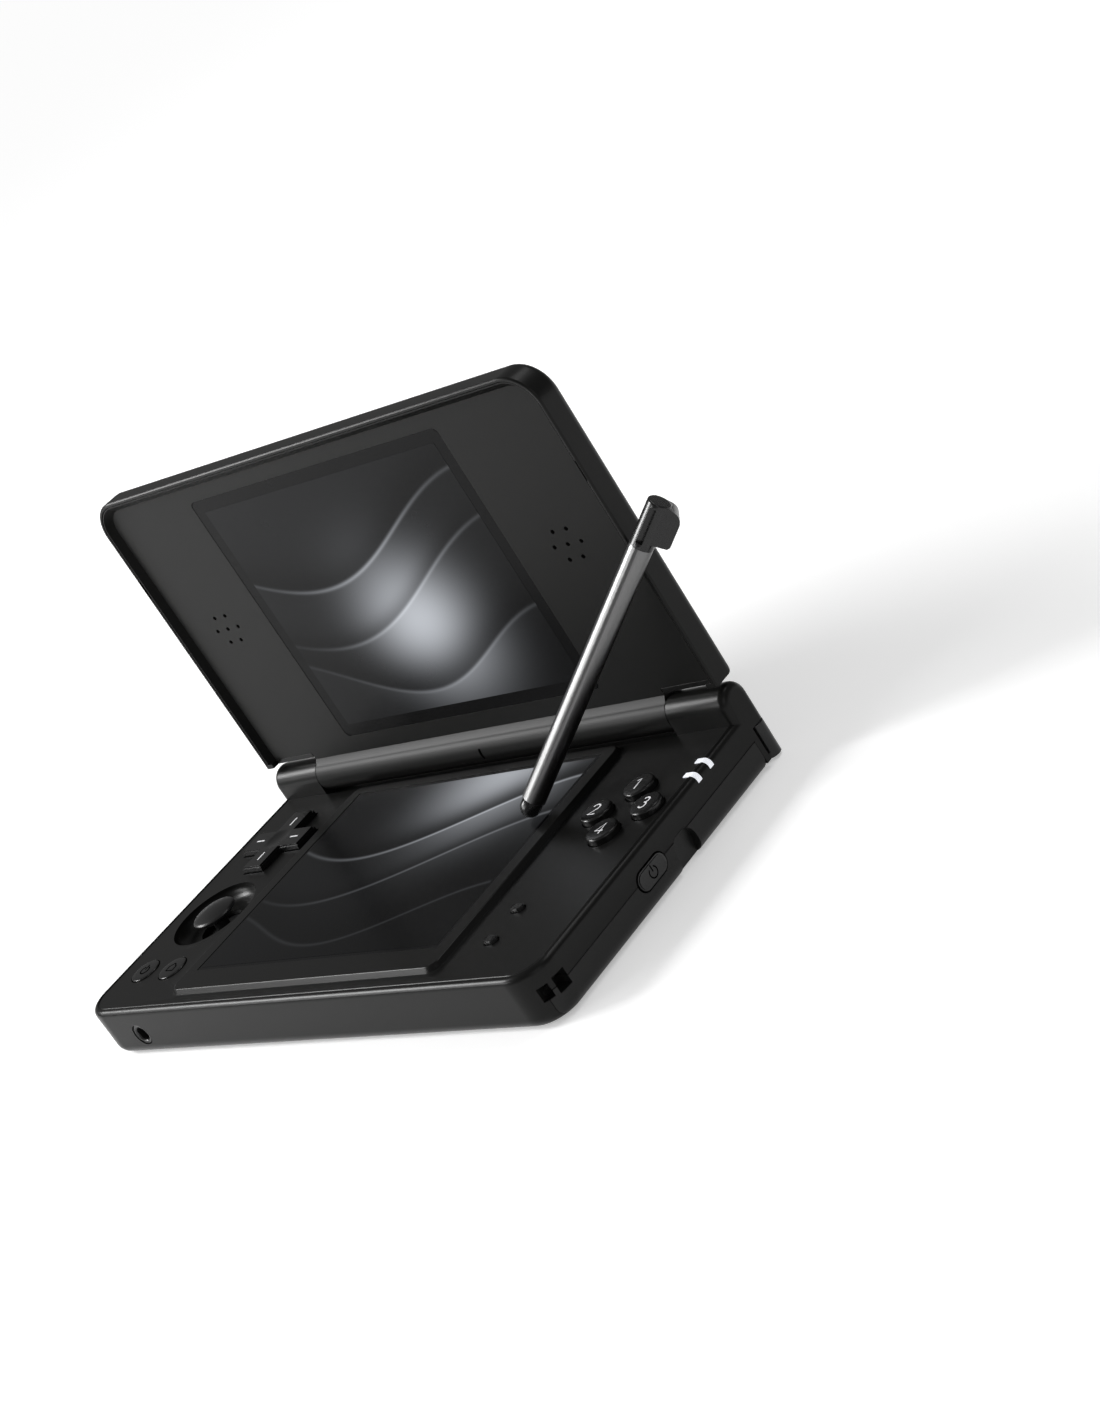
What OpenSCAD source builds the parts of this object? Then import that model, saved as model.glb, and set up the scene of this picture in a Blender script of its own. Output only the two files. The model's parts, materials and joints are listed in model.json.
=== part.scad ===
// Clamshell handheld game console, open, with its stylus standing on the lower screen.
// X runs to the player's right, Y towards the hinge and Z up; the origin is the centre of the underside.

/* [Case] */
// Width of both halves
body_w = 161; // [160:0.5:163]
// Depth of the closed console
body_d = 91.4; // [91:0.1:93]
// Height of the lower half at its rim
base_h = 13.4; // [13.2:0.1:14]
// Thickness of the lid
lid_t = 7.5; // [7.5:0.1:8.5]
// Plan radius of the front corners
corner_r = 8.5; // [7:0.5:10]
// Thickness of the outer walls
wall = 1.6; // [1.4:0.1:1.8]
// Height of the seam between the two lower shells
seam_z = 7.2; // [7:0.1:7.4]

/* [Hinge] */
// How far the lid stands open
lid_angle = 90.4; // [0:0.2:135]
// Radius of the hinge barrel
barrel_r = 4.4; // [4.2:0.1:4.5]
// Half length of the barrel between the two ears
barrel_half = 62.5; // [60:0.5:64]

/* [Screens] */
// Width of a display's lit area
screen_w = 84.8; // [80:0.2:85]
// Height of a display's lit area
screen_h = 63.8; // [60:0.2:64]
// Height of the frame round the lower screen above the rim
plateau_rise = 1.3; // [1:0.1:1.4]
// Width of the window in the lid
lens_w = 91.2; // [88:0.2:92]
// Height of the window in the lid
lens_h = 70.3; // [68:0.1:71]

/* [Controls] */
// Radius of a face button
face_r = 3.95; // [3.8:0.05:4.1]
// Centre to centre distance from the diamond's middle to a face button
face_spread = 7.6; // [7.4:0.1:8]
// Height of the buttons' tops above the underside
button_top = 15; // [14.6:0.1:15]
// Half length of the directional pad
dpad_half = 11.2; // [10.5:0.1:11.4]
// Width of the directional pad's arms
dpad_arm = 7.4; // [7:0.1:7.6]
// Radius of the dish round the thumbstick
dish_r = 11.8; // [11:0.1:12]
// Radius of the thumbstick's cap
stick_r = 5.8; // [5.4:0.1:6]

/* [Stylus] */
// Diameter of the stylus
stylus_d = 5.4; // [5:0.1:5.6]
// Length from tip to cap
stylus_len = 81.2; // [78:0.2:86]

/* [Hidden] */
$fn = 64;

// Colours
black_plastic = [0.09, 0.09, 0.1];
dark_plastic = [0.06, 0.06, 0.07];
button_plastic = [0.07, 0.07, 0.08];
glass_black = [0.03, 0.03, 0.04];
board_green = [0.06, 0.25, 0.15];
silicone_grey = [0.5, 0.52, 0.55];
steel = [0.7, 0.71, 0.73];
light_white = [0.95, 0.96, 0.98];

// Case
half_w = body_w / 2;
front_y = -body_d / 2;
rear_y = body_d / 2;
seam_gap = 0.05;          // each shell stops this far from the seam
seam_bevel = 0.22;        // bevel that shows as the parting line
apron_x = 78.4;           // the upper shell has the whole front wall, this far to each side
apron_y = -39.7;
apron_z = 0.8;            // and down to here
rim_r = 1.5;              // rounding of the deck's edge
foot_r = 3;               // rounding of the underside's edge
rear_r = 2;               // plan radius of the ears and the rear corners
deck_z = base_h - 0.15;   // the deck lies a little below its rim
deck_under = deck_z - wall;
fit = 0.05;               // gap between pieces that are fixed together
slack = 0.25;             // gap round a piece that moves

// Hinge
hinge_y = rear_y - barrel_r;
lid_gap = 0.3;            // gap between the closed halves
lid_rim_z = base_h + lid_gap;
lid_out_z = lid_rim_z + lid_t;
hinge_z = lid_out_z - barrel_r;
ear_x = barrel_half + 0.2;
trough_y = hinge_y - barrel_r - 0.1;
trough_z = hinge_z - barrel_r - 0.5;
shaft_r = 1.5;
sleeve_r = 2.4;
sleeve_bore = 1.7;
cartridge_r = 3;
running = 0.05;           // radial clearance of a shaft that turns

// Screens
plateau_z = base_h + plateau_rise;
plateau_x = 47;           // half width of the flat top
plateau_front = -40.2;
plateau_rear = 34.5;
plateau_run = 1.75;       // width of the slope round it
plateau_edge = 0.45;      // rounding of its upper edge
screen_y = -1;            // middle of the lower screen
pane_w = screen_w + 2;
pane_h = screen_h + 2;
pane_z = plateau_z - 0.1;
lens_y = -3.65;           // middle of the window in the lid, measured with the lid closed
lid_face_z = lid_rim_z + 1.9;
frame_back_z = lid_face_z + 1.6;
cover_in_z = lid_out_z - 1.5;

// Controls
face_c = [66.2, 9.4];
dpad_c = [-62.3, 17];
dpad_top = button_top - 0.15;
stick_c = [-62.6, -9.8];
start_c = [57.7, -21.5];
select_c = [57.7, -31.7];
menu_c = [[-69.6, -30.4], [-58.4, -30.4]];
menu_r = 3.9;
flange_z = 9.9;           // underside of the buttons
power_c = [-4.6, 6.8];    // along Y and Z on the right wall
power_size = [10, 4.4];
power_gap = 0.4;
volume_c = [8, 6.9];      // along Y and Z on the left wall
volume_size = [13.4, 4];
status_y = [20, 24.9];
status_w = 1.5;
screw_c = [71.8, -38.4];
jack_c = [-61.4, 6.2];    // along X and Z on the front wall
jack_r = 1.8;
silo_c = [51, 4.9];       // along X and Z on the rear wall
silo_r = 2.95;
silo_tube_r = 4.05;
silo_len = 73;
pin_r = 0.8;              // steel pins of the shoulder buttons
shoulder_in = 61;         // inner end of a shoulder button's pocket
shoulder_y = 40.6;        // front wall of the pocket
shoulder_top = 9.5;
shoulder_pivot = [shoulder_in + 1.9, 43.6];
stick_travel = 2.6;       // each way, to the sides and to front and rear
stem_r = 1.9;
stick_hole_r = 6;
skirt_r = 9.7;            // disc that keeps the hole in the bowl covered

// Boards
board_z = 6.5;
board_t = 1;
membrane_z = board_z + board_t;

function arc(cx, cy, r, a0, a1, n) =
  [for (i = [0:n]) [cx + r * cos(a0 + (a1 - a0) * i / n), cy + r * sin(a0 + (a1 - a0) * i / n)]];

// Plate with plan radii rf in front and rr behind. side is its edge section from the bottom up, as
// [inset, z] points that end at inset = depth; between the edges it is solid from z0 to z1.
module edged_plate(w, y0, y1, rf, rr, side, depth, z0, z1) {
  wide = w / 2;
  for (s = [-1, 1]) mirror([s < 0 ? 1 : 0, 0, 0]) {
    translate([wide - rf, y0 + rf, 0]) rotate([0, 0, -90]) edge_corner(side, depth, rf, z0, z1);
    translate([wide - rr, y1 - rr, 0]) edge_corner(side, depth, rr, z0, z1);
    translate([wide, (y0 + rf + y1 - rr) / 2, 0]) rotate([0, 0, 90])
      edge_run(side, y1 - rr - y0 - rf);
  }
  translate([0, y0, 0]) edge_run(side, w - 2 * rf);
  translate([0, y1, 0]) rotate([0, 0, 180]) edge_run(side, w - 2 * rr);
  h = z1 - z0;
  translate([depth - wide, y0 + rf, z0]) cube([w - 2 * depth, y1 - rr - y0 - rf, h]);
  translate([rf - wide, y0 + depth, z0]) cube([w - 2 * rf, rf - depth, h]);
  if (rr > depth) translate([rr - wide, y1 - rr, z0]) cube([w - 2 * rr, rr - depth, h]);
}

// A quarter turn of the edge section round a corner centre
module edge_corner(side, depth, r, z0, z1) {
  rotate_extrude(angle = 90, $fn = 96)
    polygon(concat(r > depth ? [[0, z0], [r - depth, z0]] : [],
      [for (p = side) [r - p[0], p[1]]], r > depth ? [[r - depth, z1], [0, z1]] : []));
}

// A straight run of the edge section along X, outwards to -Y
module edge_run(side, len) {
  rotate([90, 0, 90]) linear_extrude(len, center = true) polygon(side);
}

// Block with upright corners of radius r
module round_block(x0, x1, y0, y1, z0, z1, r) {
  translate([x0 + r, y0, z0]) cube([x1 - x0 - 2 * r, y1 - y0, z1 - z0]);
  translate([x0, y0 + r, z0]) cube([x1 - x0, y1 - y0 - 2 * r, z1 - z0]);
  for (x = [x0 + r, x1 - r], y = [y0 + r, y1 - r]) translate([x, y, z0]) cylinder(r = r, h = z1 - z0);
}

module box(x0, x1, y0, y1, z0, z1) {
  translate([x0, y0, z0]) cube([x1 - x0, y1 - y0, z1 - z0]);
}

// Pill in the XY plane: overall length along X, then width
module pill(len, width, h) {
  cube_len = len - width;
  translate([-cube_len / 2, -width / 2, 0]) cube([cube_len, width, h]);
  for (s = [-1, 1]) translate([s * cube_len / 2, 0, 0]) cylinder(d = width, h = h);
}

// Pill on a side wall: it runs along Y and its depth along +X
module wall_pill(len, width, depth) {
  rotate([90, 0, 90]) pill(len, width, depth);
}

module along_x(x0, x1, y, z, r) {
  translate([x0, y, z]) rotate([0, 90, 0]) cylinder(r = r, h = x1 - x0);
}

module both_sides() {
  children();
  mirror([1, 0, 0]) children();
}

// Round button with a softened top edge and a flange that keeps it in the deck
module round_button(r, top, flange, edge = 0.5) {
  rotate_extrude() polygon(concat(
    [[0, flange_z], [r + flange, flange_z], [r + flange, flange_z + 0.9], [r, flange_z + 0.9]],
    arc(r - edge, top - edge, edge, 0, 90, 4), [[0, top + 0.12]]));
}

// Turns a piece drawn with the lid closed to the open lid's place
module on_open_lid() {
  translate([0, hinge_y, hinge_z]) rotate([-lid_angle, 0, 0]) translate([0, -hinge_y, -hinge_z]) children();
}

// ---- lower half: shells ----

// Edge of the upper shell, with a fine groove between its rounded rim and the deck
groove_z = deck_z - 0.12;
apron_turn = asin((foot_r - apron_z) / foot_r);
top_side = concat([[rear_r, apron_z]], arc(foot_r, foot_r, foot_r, 180 + apron_turn, 180, 5),
  arc(rim_r, base_h - rim_r, rim_r, 180, 90, 5), [[rim_r + 0.12, groove_z], [rear_r - 0.12, groove_z],
  [rear_r, deck_z]]);
foot_depth = 3.2;
bottom_side = concat([[foot_depth, 0]], arc(foot_r, foot_r, foot_r, 270, 180, 6),
  [[0, seam_z - seam_gap - seam_bevel], [seam_bevel, seam_z - seam_gap], [foot_depth, seam_z - seam_gap]]);
plateau_depth = 4;
plateau_side = concat([[plateau_depth, base_h - 2], [0, base_h - 2], [0, deck_z], [0.75, deck_z + 0.25]],
  arc(plateau_run, plateau_z - plateau_edge, plateau_edge, 145, 90, 4), [[plateau_depth, plateau_z]]);

module dish(margin) {
  // inner face of the bowl round the stick; margin grows it into the bowl's outer face
  translate([stick_c[0], stick_c[1], 0]) rotate_extrude() polygon(concat(
    [[0, 9.7 - margin], [8.4 + margin / 2, 9.7 - margin]],
    arc(8.4, 13.25, 3.55 + margin, -90, -12, 6), [[dish_r + margin, deck_z + 0.01], [0, deck_z + 0.01]]));
}

// Half outline of an ear as [distance from the hinge's axis, x]
ear_half = concat([[barrel_r, ear_x]], arc(barrel_r - rear_r, half_w - rear_r, rear_r, 0, 90, 6),
  [[0, half_w]]);

module ear() {
  translate([0, hinge_y, hinge_z]) rotate([0, 90, 0])
    rotate_extrude() polygon(concat([[0, ear_x]], ear_half));
  translate([0, hinge_y, shoulder_top]) linear_extrude(hinge_z - shoulder_top)
    polygon(concat([for (p = ear_half) [p[1], p[0]]],
      [for (i = [len(ear_half) - 2:-1:0]) [ear_half[i][1], -ear_half[i][0]]]));
}

module status_band(margin) {
  x1 = half_w + 0.03;
  z1 = base_h + 0.03;
  r = rim_r + 0.03;
  for (y = status_y)
    translate([0, y + status_w / 2 + margin, 0]) rotate([90, 0, 0]) linear_extrude(status_w + 2 * margin)
      polygon(concat([[77.1 - margin, z1]], arc(x1 - r, z1 - r, r, 90, 0, 6),
        [[x1, 11.4 - margin], [x1 - 1.1 - margin, 11.4 - margin], [x1 - 1.1 - margin, 12 - margin],
        [77.1 - margin, 12 - margin]]));
}

// Tunnel for a wrist cord round the front right corner
module cord_tunnel() {
  box(76.2, half_w + 1, -40.5, -37.1, 5.3, 9.3);
  translate([75.9, -39.3, 5.6]) rotate([0, 0, -69]) cube([8, 2.4, 3.4]);
}

module pocket_cavity(z0, z1) {
  // room inside the shells, short of the trough
  round_block(wall - half_w, half_w - wall, front_y + wall, trough_y - wall - 0.1, z0, z1, corner_r - wall);
}

module base_top_shell() color(black_plastic) difference() {
  union() {
    difference() {
      edged_plate(body_w, front_y, rear_y, corner_r, rear_r, top_side, rear_r, apron_z, deck_z);
      pocket_cavity(0, deck_under);
      // below the seam only the front wall is left
      box(-half_w - 1, half_w + 1, apron_y, rear_y + 1, 0, seam_z + seam_gap);
      both_sides() box(apron_x, half_w + 1, front_y - 1, rear_y + 1, 0, seam_z + seam_gap);
      // the floor below the barrel
      box(-ear_x, ear_x, trough_y, rear_y + 1, trough_z, base_h + 1);
      box(-shoulder_in + wall, shoulder_in - wall, trough_y, rear_y - wall, 0, trough_z - wall);
      both_sides() box(shoulder_in, half_w + 1, shoulder_y, rear_y + 1, 0, shoulder_top);
      both_sides() box(ear_x, half_w + 1, hinge_y - barrel_r + rear_r, rear_y + 1, shoulder_top, base_h + 1);
    }
    edged_plate(2 * (plateau_x + plateau_run), plateau_front - plateau_run, plateau_rear + plateau_run,
      4.2, 4.2, plateau_side, plateau_depth, base_h - 2, plateau_z);
    both_sides() ear();
    // skirts in front of the shoulder buttons
    both_sides() box(shoulder_in, half_w, shoulder_y - 1.5, shoulder_y, 1.2, shoulder_top + 0.6);
    dish(1.2);
    // screw bosses and the block round the wrist cord's tunnel
    for (s = [-1, 1]) translate([s * screw_c[0], screw_c[1], seam_z + seam_gap]) cylinder(r = 3, h = 5);
    intersection() {
      box(75, half_w - 1, front_y + 1, -35.5, seam_z + seam_gap, 11.7);
      translate([half_w - corner_r, front_y + corner_r, 0]) cylinder(r = corner_r - 0.5, h = 20);
    }
    // rib that carries the rocker's upper trunnion
    box(wall - half_w - 0.5, 3.2 - half_w, volume_c[0] - 2, volume_c[0] + 2, 9.8, deck_z - 1);
    translate([jack_c[0], front_y + 1, jack_c[1]]) rotate([-90, 0, 0]) cylinder(r = 4.2, h = 3);
  }
  // screen window and the room behind it
  box(-pane_w / 2 - fit, pane_w / 2 + fit, screen_y - pane_h / 2 - fit, screen_y + pane_h / 2 + fit,
    deck_under - 2, plateau_z + 1);
  box(-45.4, 45.4, -36.4, 34, 7, 13.1);
  dish(0);
  translate([stick_c[0], stick_c[1], 5]) cylinder(r = stick_hole_r, h = 6);
  for (a = [0:90:270]) translate([face_c[0] + face_spread * cos(a), face_c[1] + face_spread * sin(a), 8])
    cylinder(r = face_r + slack, h = 8);
  translate([dpad_c[0], dpad_c[1], 0]) dpad_cross(dpad_half + 0.4, dpad_arm + 0.8, 8, 16);
  for (c = menu_c) translate([c[0], c[1], 8]) cylinder(r = menu_r + slack, h = 8);
  for (c = [start_c, select_c]) translate([c[0], c[1], 8]) pill(3.6 + 2 * slack, 2.4 + 2 * slack, 8);
  translate([half_w - wall - 1, power_c[0], power_c[1]])
    wall_pill(power_size[0] + 2 * power_gap, power_size[1] + 2 * power_gap, 4);
  translate([-half_w - 1, volume_c[0], volume_c[1]])
    wall_pill(volume_size[0] + 0.7, volume_size[1] + 0.6, 4.2);
  translate([3.2 - half_w - 0.9, volume_c[0], 5]) cylinder(r = 0.7 + running, h = 6.6);
  status_band(0.02);
  translate([jack_c[0], front_y - 1, jack_c[1]]) rotate([-90, 0, 0]) cylinder(r = 2.9 + fit, h = 18);
  cord_tunnel();
  finger_scoop();
  for (s = [-1, 1]) translate([s * screw_c[0], screw_c[1], 5]) cylinder(r = 1.02, h = 6);
  both_sides() translate([shoulder_pivot[0], shoulder_pivot[1], 6]) cylinder(r = pin_r + 0.02, h = 5.4);
  along_x(ear_x - 5, half_w - 4, hinge_y, hinge_z, shaft_r + 0.02);
  along_x(4 - half_w, 5 - ear_x, hinge_y, hinge_z, sleeve_r + 0.02);
  // card slot in the rear wall, and the tube that holds the stylus
  box(-47, -13, 20, rear_y + 1, 7.65, 9.95);
  translate([silo_c[0], rear_y + 1, silo_c[1]]) rotate([90, 0, 0])
    cylinder(r = silo_tube_r + fit, h = silo_len + 4);
}

// Scoop for a fingertip in the right wall: an arch that gets deeper towards the underside
scoop_y = 7.2;
scoop_r = 3.9;
module finger_scoop() intersection() {
  union() {
    along_x(half_w - 4, half_w + 1, scoop_y, 8 - scoop_r, scoop_r);
    box(half_w - 4, half_w + 1, scoop_y - scoop_r, scoop_y + scoop_r, -1, 8 - scoop_r);
  }
  translate([half_w - 0.8, 0, 8]) rotate([0, 12, 0]) box(0, 6, 0, 14, -12, 2);
}

module base_bottom_shell() color(dark_plastic) difference() {
  union() {
    difference() {
      edged_plate(body_w, front_y, rear_y, corner_r, 3.2, bottom_side, foot_depth, 0, seam_z - seam_gap);
      pocket_cavity(wall, seam_z + 1);
      box(-shoulder_in + 2 * wall, shoulder_in - 2 * wall, trough_y - 3, rear_y - wall, wall, seam_z + 1);
      both_sides() box(shoulder_in - 0.1, half_w + 1, shoulder_y - 1.6, rear_y + 1, -1, seam_z + 1);
    }
    // tabs under the shoulder buttons' pivots
    both_sides() box(shoulder_in - 1.2, shoulder_in + 4, shoulder_y + 0.9, rear_y - foot_depth, 0, 1.5);
    both_sides() intersection() {
      box(shoulder_in - 1.2, shoulder_in + 4, rear_y - foot_depth, rear_y, 0, 1.5);
      translate([0, rear_y, 0]) rotate([0, 0, 180]) edge_run(bottom_side, body_w);
    }
    for (s = [-1, 1]) translate([s * screw_c[0], screw_c[1], 0.5])
      cylinder(r = 3.4, h = seam_z - seam_gap - 0.5);
    intersection() {
      box(75, half_w - 1, front_y + 1, -35.5, 1.5, seam_z - seam_gap);
      translate([half_w - corner_r, front_y + corner_r, 0]) cylinder(r = corner_r - 0.5, h = 20);
    }
    // tube that holds the stylus
    translate([silo_c[0], rear_y - 1, silo_c[1]]) rotate([90, 0, 0])
      cylinder(r = silo_tube_r, h = silo_len + 0.4);
    box(half_w - 3.2, half_w - 1, 2.4, 12.4, 1, seam_z - seam_gap);
    box(wall - half_w - 0.5, 3.2 - half_w, volume_c[0] - 2, volume_c[0] + 2, 1, 4.2);
  }
  translate([silo_c[0], rear_y + 1, silo_c[1]]) rotate([90, 0, 0]) cylinder(r = silo_r, h = silo_len + 1);
  for (s = [-1, 1]) translate([s * screw_c[0], screw_c[1], -1]) {
    cylinder(r = 1.1, h = 10);
    cylinder(r = 2.3, h = 3.2);
    translate([-s * 7.5, 1.5, 0]) cylinder(r = 0.45, h = 4);
  }
  both_sides() translate([shoulder_pivot[0], shoulder_pivot[1], 0.4]) cylinder(r = pin_r + 0.02, h = 4);
  translate([half_w - wall - 1, power_c[0], power_c[1]])
    wall_pill(power_size[0] + 2 * power_gap, power_size[1] + 2 * power_gap, 4);
  translate([-half_w - 1, volume_c[0], volume_c[1]])
    wall_pill(volume_size[0] + 0.7, volume_size[1] + 0.6, 4.2);
  translate([3.2 - half_w - 0.9, volume_c[0], 2.2]) cylinder(r = 0.7 + running, h = 6);
  cord_tunnel();
  finger_scoop();
  // the upper shell's front wall stands in this rabbet
  difference() {
    box(-apron_x - 2 * seam_gap, apron_x + 2 * seam_gap, front_y - 1, apron_y + 0.05,
      apron_z - 2 * seam_gap, seam_z + 1);
    round_block(wall + fit - half_w, half_w - wall - fit, front_y + wall + fit, apron_y + 20,
      0, seam_z + 2, corner_r - wall - fit);
  }
  // charge port in the rear wall
  translate([0, rear_y + 1, 4.6]) rotate([90, 0, 0]) pill(9.4, 3.6, wall + 4);
}

// ---- lower half: inside ----

module touch_panel() color(glass_black)
  box(-pane_w / 2, pane_w / 2, screen_y - pane_h / 2, screen_y + pane_h / 2, 13.15, pane_z);

module lower_display() color(glass_black)
  box(-45.2, 45.2, -36.2, 33.8, 10.1, 13.05);

module main_board() color(board_green) difference() {
  box(-76, 76, -32.8, 33.8, board_z, board_z + board_t);
  box(jack_c[0] - 4.6, jack_c[0] + 4.6, -40, -30.6, 0, 20);
  box(silo_c[0] - 4.5, silo_c[0] + 4.5, rear_y - silo_len - 2, 40, 0, 20);
  box(stick_c[0] - 8, stick_c[0] + 8, stick_c[1] - 8, stick_c[1] + 8, 0, 20);
  box(74.5, 80, -12, 13, 0, 20);
  box(-80, -74.5, -1, 17, 0, 20);
}

module battery() color(silicone_grey)
  round_block(-34, 34, -26, 24, wall + 0.1, board_z - 0.3, 2);

// Silicone sheets with a dome under each button
module button_membranes() color(silicone_grey) {
  translate([0, 0, membrane_z + 0.02]) {
    difference() {
      round_block(56, 76, -3.5, 21.5, 0, 0.5, 2);
      box(74.3, 77, -12, 13.2, -1, 2);
    }
    for (a = [0:90:270]) translate([face_c[0] + face_spread * cos(a), face_c[1] + face_spread * sin(a), 0])
      cylinder(r1 = 2.6, r2 = 2, h = 0.9);
    difference() {
      round_block(-74, -50, 5, 28, 0, 0.5, 2);
      translate([dpad_c[0], dpad_c[1], -1]) cylinder(r = 2.4, h = 4);
    }
    for (a = [0:90:270]) translate([dpad_c[0] + 7.4 * cos(a), dpad_c[1] + 7.4 * sin(a), 0])
      cylinder(r1 = 2.6, r2 = 2, h = 0.9);
  }
}

// The stick slides: its stem runs left and right in a slotted carriage, which runs to and fro in
// a square tray
tray_half = 6.6;
carriage_half = tray_half - stick_travel - 0.1;
module stick_base() color(dark_plastic) translate([stick_c[0], stick_c[1], 0]) difference() {
  round_block(-7.6, 7.6, -7.6, 7.6, 1.8, 7.3, 1);
  box(-tray_half, tray_half, -tray_half, tray_half, 3.2, 8);
}

module stick_carriage() color(steel) translate([stick_c[0], stick_c[1], 0]) difference() {
  box(0.1 - tray_half, tray_half - 0.1, -carriage_half, carriage_half, 3.4, 5.6);
  box(-stem_r - stick_travel - 0.1, stem_r + stick_travel + 0.1, -stem_r - running, stem_r + running, 3, 6);
}

module headphone_socket() color(steel) translate([jack_c[0], front_y, jack_c[1]]) rotate([-90, 0, 0])
  difference() {
    union() {
      translate([0, 0, 0.15]) cylinder(r = 2.9, h = 5);
      translate([-3.6, -2.7, 4.6]) cube([7.2, 6.2, 10]);
    }
    translate([0, 0, -1]) cylinder(r = jack_r, h = 14.15);
    translate([0, 0, 0.1]) cylinder(r1 = 2.3, r2 = jack_r, h = 0.5);
  }

module charge_port() color(steel) translate([0, rear_y - 0.4, 4.6]) rotate([90, 0, 0]) difference() {
  pill(9.2, 3.4, 7.6);
  translate([0, 0, -1]) pill(8.7, 2.9, 7.4);
}

module card_slot() color(steel) difference() {
  box(-46.9, -13.1, 20, rear_y - 0.5, 7.7, 9.9);
  box(-46.4, -13.6, 21, rear_y, 8.1, 9.6);
}

module status_windows() color(light_white) status_band(0);

module housing_screws() color(steel)
  for (s = [-1, 1]) translate([s * screw_c[0], screw_c[1], 0]) difference() {
    union() {
      translate([0, 0, 1.1]) cylinder(r = 2.1, h = 1.1);
      translate([0, 0, 1.2]) cylinder(r = 1, h = 9);
    }
    for (a = [0, 90]) rotate([0, 0, a]) translate([-1.2, -0.25, 0.9]) cube([2.4, 0.5, 0.8]);
  }

module hinge_shaft() color(steel)
  along_x(49, half_w - 4.2, hinge_y, hinge_z, shaft_r);

module hinge_sleeve() color(steel) difference() {
  along_x(4.2 - half_w, -54, hinge_y, hinge_z, sleeve_r);
  along_x(3 - half_w, -50, hinge_y, hinge_z, sleeve_bore);
}

// Rolled ribbon that carries the lid's wires through the hollow sleeve
module display_flex() color(dark_plastic) difference() {
  along_x(5 - half_w, -51.5, hinge_y, hinge_z, 1.4);
  along_x(4 - half_w, -50, hinge_y, hinge_z, 1.05);
}

module shoulder_pins() color(steel) both_sides()
  translate([shoulder_pivot[0], shoulder_pivot[1], 0.5]) cylinder(r = pin_r, h = 10.7);

module shoulder_springs() color(steel) both_sides() translate([shoulder_pivot[0], shoulder_pivot[1], 0])
  for (i = [0:3]) translate([0, 0, 4.9 + 0.55 * i])
    rotate_extrude() translate([1.35, 0]) circle(r = 0.25, $fn = 16);

// ---- lower half: controls ----

module face_button(angle) color(button_plastic)
  translate([face_c[0] + face_spread * cos(angle), face_c[1] + face_spread * sin(angle), 0])
    round_button(face_r, button_top - 0.12, 0.55);
module face_button_top() face_button(90);
module face_button_right() face_button(0);
module face_button_bottom() face_button(270);
module face_button_left() face_button(180);

module dpad_cross(half, arm, z0, z1) {
  box(-half, half, -arm / 2, arm / 2, z0, z1);
  box(-arm / 2, arm / 2, -half, half, z0, z1);
}

// Cross with softened rims, a shallow dish in the middle and a retaining disc below
module dpad() color(button_plastic) translate([dpad_c[0], dpad_c[1], 0]) difference() {
  union() {
    dpad_cross(dpad_half, dpad_arm, flange_z, dpad_top - 0.5);
    dpad_cross(dpad_half - 0.4, dpad_arm - 0.8, flange_z, dpad_top);
    translate([0, 0, flange_z]) cylinder(r = 11.9, h = 0.6);
  }
  translate([0, 0, dpad_top + 14]) sphere(r = 14.5, $fn = 96);
  translate([0, 0, flange_z - 1]) cylinder(r = 1.9, h = 1.3);
}

module dpad_pivot() color(dark_plastic) translate([dpad_c[0], dpad_c[1], 0])
  rotate_extrude() polygon(concat([[0, membrane_z + 0.15], [1.4, membrane_z + 0.15]],
    arc(0.9, flange_z - 0.45, 0.5, 0, 90, 4), [[0, flange_z + 0.1]]));

// Domed cap, stem and skirt in one turned piece
dome_r = 16;
dome_from = acos((stick_r - 0.35) / dome_r);
module thumbstick() color(button_plastic) translate([stick_c[0], stick_c[1], 0])
  rotate_extrude() polygon(concat([[0, 3.6], [stem_r, 3.6], [stem_r, 7.75], [skirt_r, 7.75], [skirt_r, 8.25],
    [stem_r, 8.25], [stem_r, 12.2], [stick_r - 1.2, 12.5], [stick_r, 13.3], [stick_r, 13.7]],
    arc(0, button_top - dome_r, dome_r, dome_from, 90, 8)));

module small_button(c) color(button_plastic) translate([c[0], c[1], 0]) {
  translate([0, 0, flange_z]) pill(4.8, 3.6, 0.8);
  translate([0, 0, flange_z]) pill(3.6, 2.4, deck_z + 0.6 - flange_z);
  translate([0, 0, flange_z]) pill(3.2, 2, deck_z + 0.8 - flange_z);
}
module start_button() small_button(start_c);
module select_button() small_button(select_c);

module menu_button(c) color(button_plastic) translate([c[0], c[1], 0])
  round_button(menu_r, deck_z + 0.3, 0.6, 0.3);
module menu_button_left() menu_button(menu_c[0]);
module menu_button_right() menu_button(menu_c[1]);

module power_button() color(button_plastic) translate([0, power_c[0], power_c[1]]) {
  translate([half_w - wall - 1.5, 0, 0]) wall_pill(power_size[0] + 1.4, power_size[1] + 1.4, 1);
  translate([half_w - wall - 1.5, 0, 0]) wall_pill(power_size[0], power_size[1], wall + 1.7);
  translate([half_w - wall - 1.5, 0, 0]) wall_pill(power_size[0] - 0.6, power_size[1] - 0.6, wall + 1.95);
}

module volume_rocker() color(button_plastic) {
  translate([-half_w, volume_c[0], volume_c[1]]) {
    translate([-0.5, 0, 0]) wall_pill(volume_size[0], volume_size[1], 3.6);
    translate([-0.75, 0, 0]) wall_pill(volume_size[0] - 0.6, volume_size[1] - 0.6, 3);
  }
  translate([3.2 - half_w - 0.9, volume_c[0], 3]) cylinder(r = 0.7, h = 8.2);
}

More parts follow.
